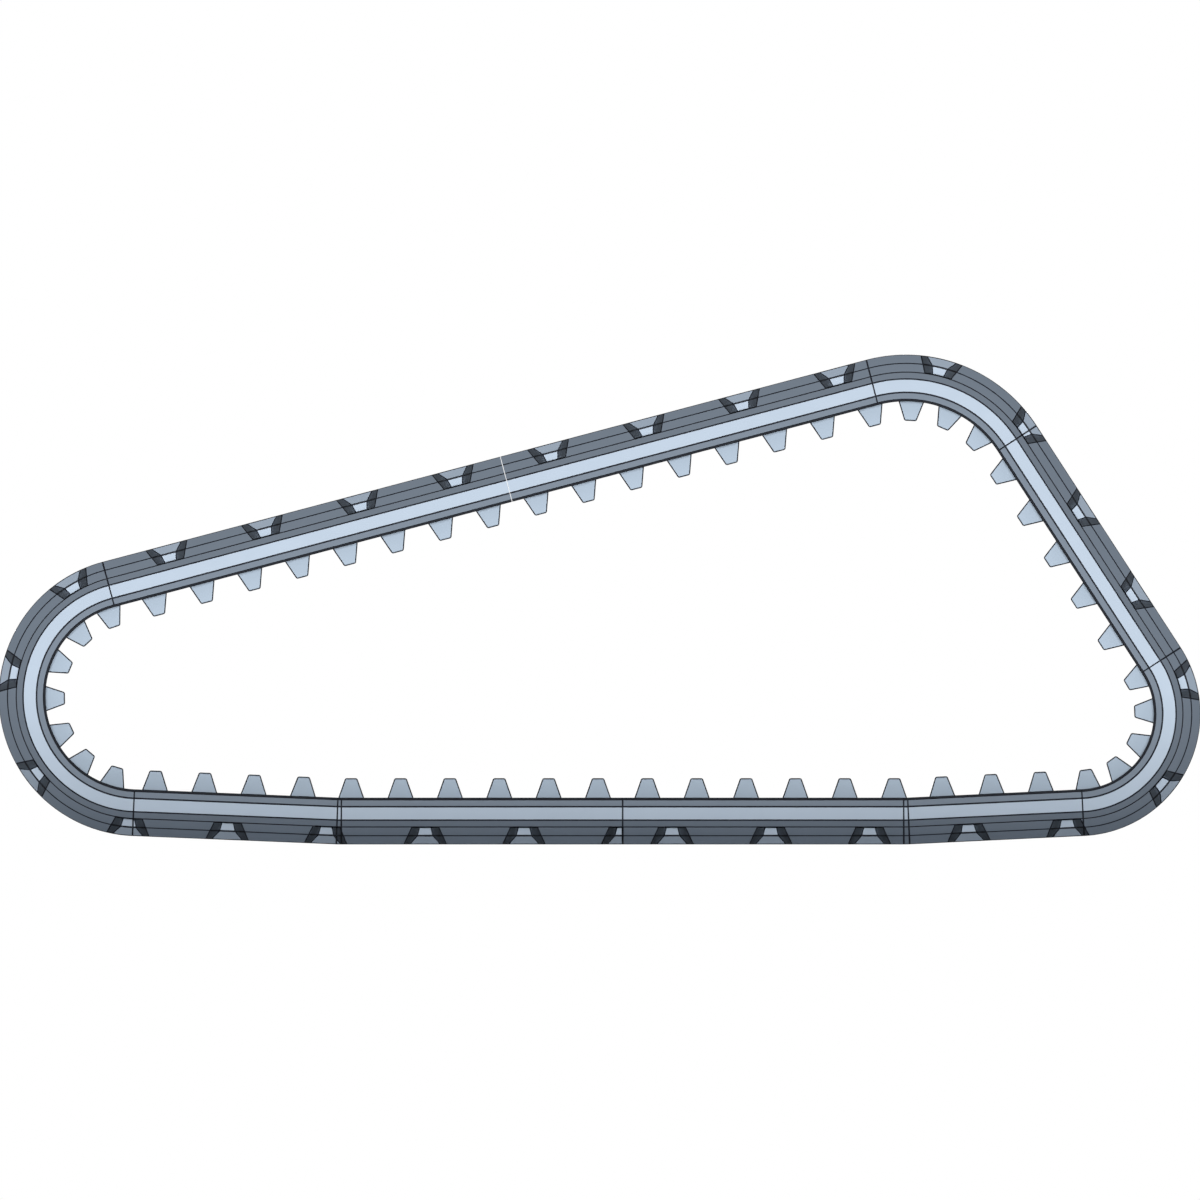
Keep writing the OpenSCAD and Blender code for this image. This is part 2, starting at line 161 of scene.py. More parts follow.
class LugSizes(bpy.types.PropertyGroup):
    """Sizes of a guide lug."""

    height: length("Height", 0.034, "Height over the roller paths")
    foot: length("Foot", 0.045, "Length at the roller paths")
    top: length("Top", 0.021, "Length at the top")
    across: length("Across", 0.056, "Centre line to the middle of a lug")
    width: length("Width", 0.046, "Width at the roller paths")
    corner: length("Corner", 0.004, "Radius of the two top corners")
    fillet: length("Fillet", 0.003, "Radius where a lug runs into the carcass")
    draft: FloatProperty(
        name="Draft",
        default=math.radians(9.0),
        subtype="ANGLE",
        description="Slope of a lug's two flat sides",
    )


def colour(name, default, description):
    """A colour property without alpha."""
    return FloatVectorProperty(
        name=name, default=default, description=description, subtype="COLOR", min=0.0, max=1.0
    )


class Finishes(bpy.types.PropertyGroup):
    """Colours of the rubber, the steel, the fabric and the stage."""

    # Painted light: rubber and lug are the lit tones of faces that look sideways; dark is the painted shade tone
    # of the same rubber on its other faces.
    rubber: colour("Rubber", (0.345, 0.41, 0.49), "Upright sides of the carcass and the tread")
    dark: colour("Dark rubber", (0.165, 0.2, 0.247), "Chamfers, treads and floors")
    lug: colour("Lugs", (0.325, 0.395, 0.475), "Upright sides of the guide lugs")
    # Painted shade: the roller paths are near-black so that the step at their edge shows as dark as shade.
    path: colour("Roller paths", (0.022, 0.025, 0.032), "Hard rubber that the rollers polish")
    edge: colour("Edge line", (0.008, 0.010, 0.016), "Soot-dark edges of the mould")
    forged: colour("Forging", (0.16, 0.16, 0.17), "Forged core inserts")
    cord: colour("Cord", (0.62, 0.47, 0.22), "Brass-plated steel cords")
    ply: colour("Ply", (0.60, 0.54, 0.40), "Dipped bias fabric")
    floor: colour("Floor", (0.86, 0.87, 0.88), "Studio floor")
    edge_width: length("Edge width", 0.0017, "Half width of a dark edge line")
    groove: length("Groove", 0.0004, "Depth of a mould seam")


# ---- The path of the belt ----
class BeltPath:
    """The line of the steel cords, from the seam on the ground: tangent lines and five arcs."""

    def __init__(self, belt):
        self.inset = belt.carcass_t + belt.tread_t - belt.cord_depth
        self.cord_depth = belt.cord_depth
        self.length = belt.links * belt.pitch
        outer = belt.carcass_t + belt.tread_t
        seats = [SEATS[name] for name in ("rear_idler_seat", "sprocket_seat", "front_idler_seat")]
        around = [
            (seat["pos_m"][0], seat["pos_m"][2], seat["dims"]["r_mm"] / 1000 + outer)
            for seat in seats
        ]
        first = (belt.contact_rear, belt.roller_r, belt.roller_r)
        last = (-belt.contact_front, belt.roller_r, belt.roller_r)
        self.wheels = [first, *around, last]
        self.heads, self.arcs = [], []
        head, end = 0.0, 0.0
        for i, (x, _z, radius) in enumerate(self.wheels):
            start = x - belt.splice if i == 0 else end + self.run_length(i - 1)
            leaving = 0.0 if i == len(self.wheels) - 1 else self.heading(i)
            turn = (leaving - head) % math.tau
            end = start + turn * (radius - self.inset)
            self.heads.append(head)
            self.arcs.append((start, end))
            head += turn
        self.first = end - self.length

    def heading(self, i):
        """Heading of the tangent line from wheel i to the next."""
        (ax, az, ar), (bx, bz, br) = self.wheels[i], self.wheels[i + 1]
        gap = math.hypot(bx - ax, bz - az)
        return math.atan2(bz - az, bx - ax) + math.asin((ar - br) / gap)

    def run_length(self, i):
        """Length of the tangent line from wheel i to the next."""
        (ax, az, ar), (bx, bz, br) = self.wheels[i], self.wheels[i + 1]
        return math.sqrt((bx - ax) ** 2 + (bz - az) ** 2 - (ar - br) ** 2)

    def at(self, s):
        """x, z and heading of the cord line at station s."""
        u = (s - self.first) % self.length + self.first
        for (x, z, radius), (start, end), head in zip(self.wheels, self.arcs, self.heads):
            cord = radius - self.inset
            if u < end:
                back = min(u - start, 0.0)
                a = head + max(u - start, 0.0) / cord
                return (
                    x + cord * math.sin(a) + back * math.cos(a),
                    z - cord * math.cos(a) + back * math.sin(a),
                    a,
                )
        raise RuntimeError("a station lies off the belt")

    def place(self, s, y, depth):
        """Point of the belt at station s, y across it, at a depth below the roller paths."""
        x, z, a = self.at(s)
        lift = self.cord_depth - depth
        return Vector((x - math.sin(a) * lift, y, z + math.cos(a) * lift))

    def square_to(self, s):
        """Frame at station s: X along the belt, Y across, Z inwards from the roller paths."""
        _x, _z, a = self.at(s)
        turn = Matrix.Rotation(-a, 4, "Y")
        return Matrix.Translation(self.place(s, 0.0, 0.0)) @ turn

    def beside(self, s, offset, depth):
        """Station under a point that stands offset along the straight tangent at station s."""
        x, z, a = self.at(s)
        lift = self.cord_depth - depth
        px = x + offset * math.cos(a) - lift * math.sin(a)
        pz = z + offset * math.sin(a) + lift * math.cos(a)
        found = s + offset
        for _ in range(12):
            gx, gz, ga = self.at(found)
            gx -= lift * math.sin(ga)
            gz += lift * math.cos(ga)
            found += (px - gx) * math.cos(ga) + (pz - gz) * math.sin(ga)
        return found


class Belt:
    """The path together with the stations of the hinges, for the pieces to be built on."""

    def __init__(self, scene):
        self.sizes = scene.track_belt
        self.section = scene.track_section
        self.pocket = scene.track_pocket
        self.finish = scene.track_finish
        self.path = BeltPath(self.sizes)
        hinge_points = {
            k: self.path.place(k * self.sizes.pitch, 0.0, self.sizes.cord_depth)
            for k in range(self.sizes.links)
        }
        self.hinges = {
            name: min(hinge_points, key=lambda k: (hinge_points[k] - Vector(joint["pos_m"])).length)
            for name, joint in JOINTS.items()
        }
        self.hinges["cut"] = round((self.hinges["sprocket_out"] + self.hinges["front_in"]) / 2)

    def span(self, stretch):
        """First and last station of a stretch, without its flexing zones."""
        start, end = STRETCHES[stretch]
        first, last = self.hinges[start], self.hinges[end]
        if first > last:
            first -= self.sizes.links
        pitch, web, gap = self.sizes.pitch, self.sizes.web_half, self.sizes.cut_gap
        low = first * pitch + (gap if start == "cut" else web)
        high = last * pitch - (gap if end == "cut" else web)
        return low, high

    def web_span(self, name):
        """First and last station of a flexing zone."""
        middle = self.hinges[name] * self.sizes.pitch
        return middle - self.sizes.web_half, middle + self.sizes.web_half

    def links_in(self, stretch):
        """Numbers of the links whose lugs stand on a stretch."""
        low, high = self.span(stretch)
        pitch = self.sizes.pitch
        return range(round(low / pitch), round(high / pitch))

    def seams(self):
        """Stations of the mould seams: the splice and the two ends of each arc."""
        return [0.0, *[station for arc in self.path.arcs for station in arc]]

    def arc_cuts(self, low, high):
        """Stations at which a piece is cut, so that it can follow the arcs."""
        cuts = []
        for lap in (-self.path.length, 0.0):
            for (_x, _z, radius), (start, end) in zip(self.path.wheels, self.path.arcs):
                step = CHORD * (radius - self.path.inset)
                count = max(2, math.ceil((end - start) / step))
                cuts += [lap + start + (end - start) * i / count for i in range(count + 1)]
        return [c for c in cuts if low + 10 * NEAR < c < high - 10 * NEAR]


# ---- Moulding: a piece is drawn flat, as (station, y, depth), and then laid round the path ----
def add_faces(flat, faces, mirrored):
    """Adds polygons of flat points, on one side of the centre line or on the other."""
    sign = -1.0 if mirrored else 1.0
    for face in faces:
        points = [flat.verts.new((s, sign * y, depth)) for s, y, depth in face]
        flat.faces.new(points)


def walls(upper, lower):
    """Quads between two outlines with the same number of points."""
    return [
        (upper[i], upper[i + 1], lower[i + 1], lower[i]) for i in range(len(upper) - 1)
    ]


def at_depth(outline, depth):
    """The (station, y) points of an outline, at a depth."""
    return [(s, y, depth) for s, y in outline]


def window_outline(belt, hinge, low, high):
    """Centre line of one half of the belt, from high back to low, round a sprocket window."""
    middle = hinge * belt.sizes.pitch
    half_l, half_w = belt.pocket.window_l / 2, belt.pocket.window_w / 2
    return [
        (high, 0.0),
        (middle + half_l, 0.0),
        (middle + half_l, half_w),
        (middle - half_l, half_w),
        (middle - half_l, 0.0),
        (low, 0.0),
    ]


def carcass_cell(belt, hinge):
    """Carcass for half a pitch on either side of a hinge, for one half of the belt."""
    section, sizes = belt.section, belt.sizes
    low, high = (hinge - 0.5) * sizes.pitch, (hinge + 0.5) * sizes.pitch
    steps = [
        (section.half_w - section.shoulder_in, sizes.rail_h),
        (section.half_w, section.side_top),
        (section.half_w, section.side_bottom),
        (section.half_w - section.foot_in, sizes.carcass_t),
    ]
    sides = [[(low, y, depth), (high, y, depth)] for y, depth in steps]
    faces = [wall for a, b in zip(sides, sides[1:]) for wall in walls(a, b)]
    inner = window_outline(belt, hinge, low, high)
    top = at_depth(inner, sizes.rail_h)
    bottom = at_depth(inner, sizes.carcass_t)
    faces += [sides[0] + top, sides[-1] + bottom]
    faces += walls(top, bottom)[1:4]
    return faces, faces


def pocket_outline(belt, hinge, kind, level):
    """Edge of the tread at one of its three levels, with a pocket, half of one, or none."""
    sizes, section, pocket = belt.sizes, belt.section, belt.pocket
    low, high = (hinge - 0.5) * sizes.pitch, (hinge + 0.5) * sizes.pitch
    middle = hinge * sizes.pitch
    depth = sizes.carcass_t + sizes.tread_t * level / 2
    edge = section.half_w - (section.foot_in, section.tread_mid_in, section.tread_face_in)[level]
    if kind == "none":
        return depth, [(low, edge), (high, edge)]
    mouth = (pocket.floor + (pocket.mouth - pocket.floor) * level / 2) / 2
    back = (pocket.back_floor, pocket.back_mid, pocket.back_face)[level]
    back_y = section.half_w - section.foot_in - pocket.depth
    if level == 2:
        back_y -= pocket.back_slope
    left = [
        (belt.path.beside(middle, -mouth, depth), edge),
        (belt.path.beside(middle, -back, depth), back_y),
    ]
    right = [
        (belt.path.beside(middle, back, depth), back_y),
        (belt.path.beside(middle, mouth, depth), edge),
    ]
    if kind == "before":
        right = [(middle, back_y), (middle, edge)]
    if kind == "after":
        left = [(middle, edge), (middle, back_y)]
    return depth, [(low, edge), *left, *right, (high, edge)]


def pocket_kinds(belt, hinge):
    """Which pocket a hinge has on its near (-Y) and on its far (+Y) side."""
    number = hinge % belt.sizes.links
    if number == 0:
        return "before", "after"
    return ("whole", "none") if number % 2 else ("none", "whole")


def tread_cell(belt, hinge):
    """Tread for half a pitch on either side of a hinge: the faces of its far and near halves."""
    low, high = (hinge - 0.5) * belt.sizes.pitch, (hinge + 0.5) * belt.sizes.pitch
    inner = window_outline(belt, hinge, low, high)
    halves = []
    for kind in pocket_kinds(belt, hinge):
        levels = [
            at_depth(outline, depth)
            for depth, outline in (pocket_outline(belt, hinge, kind, n) for n in range(3))
        ]
        top = at_depth(inner, belt.sizes.carcass_t)
        ground = at_depth(inner, belt.sizes.carcass_t + belt.sizes.tread_t)
        faces = walls(levels[0], levels[1]) + walls(levels[1], levels[2])
        faces += [levels[0] + top, levels[2] + ground]
        faces += walls(top, ground)[1:4]
        halves.append(faces)
    near, far = halves
    return far, near


def rail_cell(belt, hinge):
    """Roller path for half a pitch on either side of a hinge."""
    section, sizes = belt.section, belt.sizes
    low, high = (hinge - 0.5) * sizes.pitch, (hinge + 0.5) * sizes.pitch
    corners = [
        (section.rail_inner, sizes.rail_h),
        (section.rail_inner + PATH_LEAN, 0.0),
        (section.half_w - section.rail_edge_in, 0.0),
        (section.half_w - section.shoulder_in, sizes.rail_h),
    ]
    sides = [[(low, y, depth), (high, y, depth)] for y, depth in corners]
    faces = [wall for a, b in zip(sides, [*sides[1:], sides[0]]) for wall in walls(a, b)]
    return faces, faces


def flat_band(belt, cell, low, high):
    """Joins the cells between two stations into one flat mesh with bevelled edges."""
    pitch = belt.sizes.pitch
    flat = bmesh.new()
    for hinge in range(math.floor(low / pitch) - 1, math.ceil(high / pitch) + 2):
        far, near = cell(belt, hinge)
        add_faces(flat, far, False)
        add_faces(flat, near, True)
    bmesh.ops.remove_doubles(flat, verts=flat.verts, dist=NEAR)
    bmesh.ops.recalc_face_normals(flat, faces=flat.faces)
    flat.normal_update()
    break_depth = belt.sizes.carcass_t + belt.sizes.tread_t / 2
    sharp = [
        e for e in flat.edges
        if len(e.link_faces) == 2
        and (
            e.calc_face_angle() > EDGE_ANGLE
            or all(abs(v.co.z - break_depth) < NEAR for v in e.verts)
        )
    ]
    bmesh.ops.bevel(
        flat,
        geom=sharp,
        offset=belt.finish.edge_width,
        segments=1,
        affect="EDGES",
        clamp_overlap=True,
        material=LINE,
    )
    return flat


def cut_at(flat, station, side=None):
    """Cuts a flat mesh at a station, and drops what lies before or after it if side says so."""
    bmesh.ops.bisect_plane(
        flat,
        geom=[*flat.verts, *flat.edges, *flat.faces],
        dist=1e-7,
        plane_co=(station, 0.0, 0.0),
        plane_no=(1.0, 0.0, 0.0),
        clear_inner=side == "before",
        clear_outer=side == "after",
    )


def close_ends(flat):
    """Fills the open ends that cutting leaves."""
    rims = [e for e in flat.edges if e.is_boundary]
    bmesh.ops.holes_fill(flat, edges=rims, sides=0)


def mark_seams(belt, flat, low, high):
    """Draws the mould seams as narrow dark strips, and returns their stations."""
    width = belt.finish.edge_width * SEAM_WIDTH
    lap = belt.path.length
    stations = [s + turn for s in belt.seams() for turn in (-lap, 0.0)]
    inside = [s for s in stations if low + 2 * width < s < high - 2 * width]
    for station in inside:
        for cut in (station - width, station, station + width):
            cut_at(flat, cut)
        for face in flat.faces:
            if abs(face.calc_center_median().x - station) < width:
                face.material_index = LINE
    return inside


def lay_on_path(belt, flat, seams):
    """Moves every vertex of a flat mesh to its place round the path."""
    middles = [v for v in flat.verts if any(abs(v.co.x - s) < NEAR for s in seams)]
    for vert in flat.verts:
        vert.co = belt.path.place(*vert.co)
    flat.normal_update()
    bmesh.ops.recalc_face_normals(flat, faces=flat.faces)
    flat.normal_update()
    for vert in middles:
        vert.co.y -= vert.normal.y * belt.finish.groove


def band(belt, cell, low, high):
    """A closed stretch of the belt between two stations."""
    flat = flat_band(belt, cell, low, high)
    cut_at(flat, low, "before")
    cut_at(flat, high, "after")
    close_ends(flat)
    for station in belt.arc_cuts(low, high):
        cut_at(flat, station)
    seams = mark_seams(belt, flat, low, high)
    lay_on_path(belt, flat, seams)
    return flat


def lug_rings(lugs, rail_h, edge):
    """Half lengths, half widths and heights of a lug's rings, from its fillet to its top."""
    slope = (lugs.foot - lugs.top) / 2 / lugs.height
    draft = math.tan(lugs.draft)
    rings = []
    seat = -rail_h
    for i in range(ROUND_STEPS + 1):
        a = math.pi / 2 * i / ROUND_STEPS
        height = seat + lugs.fillet * (1 - math.cos(a))
        spread = lugs.fillet * (1 - math.sin(a))
        half_l = lugs.foot / 2 - slope * height + spread
        rings.append((half_l, lugs.width / 2 - draft * height + spread, height))
    rings.insert(0, (rings[0][0], rings[0][1], seat - LUG_ROOT))
    lean = math.atan(slope)
    centre = lugs.top / 2 - lugs.corner * (1 / math.cos(lean) - math.tan(lean))
    start = lugs.height - edge
    for i in range(ROUND_STEPS + 2):
        a = lean + (math.pi / 2 - lean) * i / (ROUND_STEPS + 1)
        height = lugs.height - lugs.corner + lugs.corner * math.sin(a)
        half_w = lugs.width / 2 - draft * height - max(0.0, height - start)
        rings.append((centre + lugs.corner * math.cos(a), half_w, height))
    return rings


def lug_mesh(belt, lugs):
    """One guide lug, standing on the roller paths at the origin, with narrow dark edges."""
    edge = belt.finish.edge_width * LUG_EDGE
    rings = lug_rings(lugs, belt.sizes.rail_h, edge)
    lug = bmesh.new()
    loops = []
    for half_l, half_w, height in rings:
        cut_l, cut_w = half_l - edge, half_w - edge * 0.6
        corners = [
            (half_l, cut_w), (cut_l, half_w), (-cut_l, half_w), (-half_l, cut_w),
            (-half_l, -cut_w), (-cut_l, -half_w), (cut_l, -half_w), (half_l, -cut_w),
        ]
        loops.append([lug.verts.new((x, y, height)) for x, y in corners])
    for k, (below, above) in enumerate(zip(loops, loops[1:])):
        at_top = rings[k][2] > lugs.height - edge - 1e-4
        for i in range(8):
            j = (i + 1) % 8
            face = lug.faces.new((below[i], below[j], above[j], above[i]))
            on_side = i in (1, 5)
            if i % 2 == 0 or (on_side and at_top):
                face.material_index = LINE
    lug.faces.new(loops[-1])
    lug.faces.new(loops[0][::-1])
    lug.normal_update()
    bmesh.ops.recalc_face_normals(lug, faces=lug.faces)
    return lug


# ---- Objects ----
def keep(name, made, materials, group):
    """Turns a bmesh into an object with crisp edges between its flat faces."""
    mesh = bpy.data.meshes.new(name)
    made.to_mesh(mesh)
    made.free()
    for material in materials:
        mesh.materials.append(material)
    mesh.polygons.foreach_set("use_smooth", [True] * len(mesh.polygons))
    mesh.set_sharp_from_angle(angle=CRISP_ANGLE)
    piece = bpy.data.objects.new(name, mesh)
    group.objects.link(piece)
    return piece


def collection(scene, name):
    """The collection for a kind of piece, made on first use."""
    found = bpy.data.collections.get(name)
    if found is None:
        found = bpy.data.collections.new(name)
        scene.collection.children.link(found)
    return found


def stand_in(piece, body, node):
    """A piece that rides on a stretch and takes the place of its CAD node."""
    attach(piece, body)
    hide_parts(node)


# ---- Shader groups and materials ----
def socket(group, name, kind, way, default=None):
    """Adds an input or output to a shader group."""
    made = group.interface.new_socket(name=name, in_out=way, socket_type="NodeSocket" + kind)
    if default is not None:
        made.default_value = default
    return made


def node(tree, kind, **settings):
    """A shader node with its settings made."""
    made = tree.nodes.new("ShaderNode" + kind)
    for name, value in settings.items():
        setattr(made, name, value)
    return made


def maths(tree, operation, a, b):
    """A Math node; a and b are sockets or numbers. Gives its result."""
    made = node(tree, "Math", operation=operation)
    for into, value in zip(made.inputs, (a, b)):
        if isinstance(value, bpy.types.NodeSocket):
            tree.links.new(value, into)
        else:
            into.default_value = value
    return made.outputs[0]


def noise_of(tree, scale, detail, stretch=(1.0, 1.0, 1.0)):
    """Noise fixed to the object. Gives its factor."""
    where = node(tree, "TexCoord")
    turned = node(tree, "Mapping")
    turned.inputs["Scale"].default_value = stretch
    texture = node(tree, "TexNoise")
    texture.inputs["Scale"].default_value = scale
    texture.inputs["Detail"].default_value = detail
    tree.links.new(where.outputs["Object"], turned.inputs["Vector"])
    tree.links.new(turned.outputs["Vector"], texture.inputs["Vector"])
    return texture.outputs["Fac"]


def remap(tree, value, low, high):
    """Maps a factor from 0..1 to low..high, both numbers or sockets."""
    made = node(tree, "MapRange")
    tree.links.new(value, made.inputs["Value"])
    for name, bound in (("To Min", low), ("To Max", high)):
        if isinstance(bound, bpy.types.NodeSocket):
            tree.links.new(bound, made.inputs[name])
        else:
            made.inputs[name].default_value = bound
    return made.outputs["Result"]


def tinted(tree, base, factor):
    """A colour multiplied by a factor."""
    made = node(tree, "VectorMath", operation="SCALE")
    tree.links.new(base, made.inputs[0])
    tree.links.new(factor, made.inputs["Scale"])
    return made.outputs[0]


def new_group(name):
    """An empty shader group with its input and output nodes."""
    group = bpy.data.node_groups.new(name, "ShaderNodeTree")
    return group, group.nodes.new("NodeGroupInput"), group.nodes.new("NodeGroupOutput")


def facing_shade_group():
    """Painted light and shade: rubber takes its pale tone where its faces look sideways and a darker painted shade
    tone on treads, floors and flanks.
    """
    group = bpy.data.node_groups.get("rubber_facing_shade")
    if group:
        return group
    group, given, result = new_group("rubber_facing_shade")
    socket(group, "Pale", "Color", "INPUT", (0.3, 0.3, 0.3, 1.0))
    socket(group, "Dark", "Color", "INPUT", (0.1, 0.1, 0.1, 1.0))
    socket(group, "Mottle", "Float", "INPUT", 0.05)
    socket(group, "Colour", "Color", "OUTPUT")
    socket(group, "Roughness", "Float", "OUTPUT")
    facing = node(group, "NewGeometry")
    parts = node(group, "SeparateXYZ")
    group.links.new(facing.outputs["Normal"], parts.inputs[0])
    # Painted light: faces that look along Y get the pale lit tone, and faces that turn away get the painted shade
    # tone, as a light from the side would give.
    sideways = maths(group, "POWER", maths(group, "ABSOLUTE", parts.outputs["Y"], 0.0), 6.0)
    blend = node(group, "Mix", data_type="RGBA")
    group.links.new(sideways, blend.inputs[0])
    group.links.new(given.outputs["Dark"], blend.inputs[6])
    group.links.new(given.outputs["Pale"], blend.inputs[7])
    patches = noise_of(group, 9.0, 4.0)
    offset = maths(group, "SUBTRACT", patches, 0.5)
    uneven = maths(group, "MULTIPLY", offset, given.outputs["Mottle"])
    total = maths(group, "ADD", 1.0, uneven)
    group.links.new(tinted(group, blend.outputs[2], total), result.inputs["Colour"])
    scuffs = noise_of(group, 38.0, 5.0)
    group.links.new(remap(group, scuffs, 0.58, 0.78), result.inputs["Roughness"])
    return group


def grain_group():
    """Moulded grain: a fine leathery height over faint flow marks."""
    group = bpy.data.node_groups.get("moulded_grain")
    if group:
        return group
    group, given, result = new_group("moulded_grain")
    socket(group, "Grain Size", "Float", "INPUT", 700.0)
    socket(group, "Flow", "Float", "INPUT", 0.3)
    socket(group, "Height", "Float", "OUTPUT")
    where = node(group, "TexCoord")
    cells = node(group, "TexVoronoi", feature="SMOOTH_F1")
    group.links.new(where.outputs["Object"], cells.inputs["Vector"])
    group.links.new(given.outputs["Grain Size"], cells.inputs["Scale"])
    flow = noise_of(group, 30.0, 3.0, (1.0, 4.0, 1.0))
    waves = maths(group, "MULTIPLY", flow, given.outputs["Flow"])
    height = maths(group, "ADD", cells.outputs["Distance"], waves)
    group.links.new(height, result.inputs["Height"])
    return group


def placed(tree, group, **values):
    """A shader group placed in a material, with its inputs set."""
    made = node(tree, "Group", node_tree=group)
    for name, value in values.items():
        made.inputs[name.replace("_", " ")].default_value = value
    return made


def blank_material(name):
    """A material that holds only a Principled BSDF and its output."""
    made = bpy.data.materials.new(name)
    made.use_nodes = True
    tree = made.node_tree
    tree.nodes.clear()
    shader = node(tree, "BsdfPrincipled")
    output = node(tree, "OutputMaterial")
    tree.links.new(shader.outputs[0], output.inputs["Surface"])
    return made, tree, shader


def rough_bump(tree, shader, height, strength, distance):
    """Feeds a height to the shader's normal."""
    bump = node(tree, "Bump")
    bump.inputs["Strength"].default_value = strength
    bump.inputs["Distance"].default_value = distance
    tree.links.new(height, bump.inputs["Height"])
    tree.links.new(bump.outputs["Normal"], shader.inputs["Normal"])


def rubber_material(name, pale, dark, mottle=0.06, grain=700.0):
    """Moulded rubber with painted light: pale on the faces that look sideways, painted shade on all others."""
    found = bpy.data.materials.get(name)
    if found:
        return found
    made, tree, shader = blank_material(name)
    facing_shade = placed(tree, facing_shade_group(), Pale=(*pale, 1.0), Dark=(*dark, 1.0), Mottle=mottle)
    tree.links.new(facing_shade.outputs["Colour"], shader.inputs["Base Color"])
    tree.links.new(facing_shade.outputs["Roughness"], shader.inputs["Roughness"])
    shader.inputs["Specular IOR Level"].default_value = 0.25
    grains = placed(tree, grain_group(), Grain_Size=grain, Flow=0.3)
    rough_bump(tree, shader, grains.outputs["Height"], 0.12, 0.0005)
    return made


def steel_material(name, base, roughness, streaks):
    """Steel with scale or drawing marks along the belt."""
    made, tree, shader = blank_material(name)
    marks = noise_of(tree, 60.0, 4.0, streaks)
    tone = node(tree, "RGB")
    tone.outputs[0].default_value = (*base, 1.0)
    shade = remap(tree, marks, 0.7, 1.15)
    tree.links.new(tinted(tree, tone.outputs[0], shade), shader.inputs["Base Color"])
    tree.links.new(remap(tree, marks, roughness, roughness + 0.2), shader.inputs["Roughness"])
    shader.inputs["Metallic"].default_value = 0.9
    rough_bump(tree, shader, marks, 0.2, 0.0004)
    return made


def ply_material(name, base):
    """Bias fabric: two sets of threads crossing at 45 degrees."""
    made, tree, shader = blank_material(name)
    where = node(tree, "TexCoord")
    heights = []
    for angle in (math.radians(45), math.radians(-45)):
        turned = node(tree, "Mapping")
        turned.inputs["Rotation"].default_value = (0.0, 0.0, angle)
        threads = node(tree, "TexWave", wave_type="BANDS")
        threads.inputs["Scale"].default_value = 260.0
        tree.links.new(where.outputs["Object"], turned.inputs["Vector"])
        tree.links.new(turned.outputs["Vector"], threads.inputs["Vector"])
        heights.append(threads.outputs["Fac"])
    weave = maths(tree, "MAXIMUM", *heights)
    tone = node(tree, "RGB")
    tone.outputs[0].default_value = (*base, 1.0)
    tree.links.new(
        tinted(tree, tone.outputs[0], remap(tree, weave, 0.6, 1.05)), shader.inputs["Base Color"]
    )
    shader.inputs["Roughness"].default_value = 0.85
    rough_bump(tree, shader, weave, 0.5, 0.0005)
    return made


def carcass_material(finish):
    """Rubber of the carcass, with painted light and shade by the way its faces look."""
    return rubber_material("moulded_carcass", finish.rubber, finish.dark)


def tread_material(finish):
    """Rubber of the tread, with painted light and shade by the way its faces look."""
    return rubber_material("moulded_tread", finish.rubber, finish.dark)


def path_material(finish):
    """Rubber of the roller paths, near-black as painted shade."""
    return rubber_material("painted_shade_path", finish.path, finish.path, grain=500.0)


def edge_material(finish):
    """Dark sooty edge of the mould."""
    return rubber_material("sooty_edge", finish.edge, finish.edge, mottle=0.1, grain=900.0)


# ---- Operators ----
class BandOperator:
    """What the operators for the carcass, the tread and the roller paths share."""

    bl_options = {"REGISTER", "UNDO"}
    kind = ""
    node_kind = ""
    slot_name = ""
    cell = None
    material = None

    def execute(self, context):
        belt = Belt(context.scene)
        group = collection(context.scene, self.kind)
        materials = [type(self).material(belt.finish), edge_material(belt.finish)]
        for stretch in STRETCHES:
            low, high = belt.span(stretch)
            made = band(belt, type(self).cell, low, high)
            piece = keep(f"{self.kind}_of_{stretch}", made, materials, group)
            stand_in(piece, stretch, f"{self.node_kind}_{stretch}")
        return {"FINISHED"}


class TRACK_OT_carcass(BandOperator, bpy.types.Operator):
    """Mould the carcass of each stretch, with its side bands and sprocket windows"""

    bl_idname = "track.carcass"
    bl_label = "Carcass"
    kind = "carcass_band"
    node_kind = "carcass"
    slot_name = "carcass_rubber"
    cell = staticmethod(carcass_cell)
    material = staticmethod(carcass_material)


class TRACK_OT_tread(BandOperator, bpy.types.Operator):
    """Mould the tread of each stretch, with pockets that alternate between its edges"""

    bl_idname = "track.tread"
    bl_label = "Tread"
    kind = "tread_band"
    node_kind = "tread"
    slot_name = "tread_rubber"
    cell = staticmethod(tread_cell)
    material = staticmethod(tread_material)


class TRACK_OT_roller_paths(BandOperator, bpy.types.Operator):
    """Mould the two roller paths of each stretch"""

    bl_idname = "track.roller_paths"
    bl_label = "Roller Paths"
    kind = "path_strips"
    node_kind = "roller_paths"
    slot_name = "path_rubber"
    cell = staticmethod(rail_cell)
    material = staticmethod(path_material)


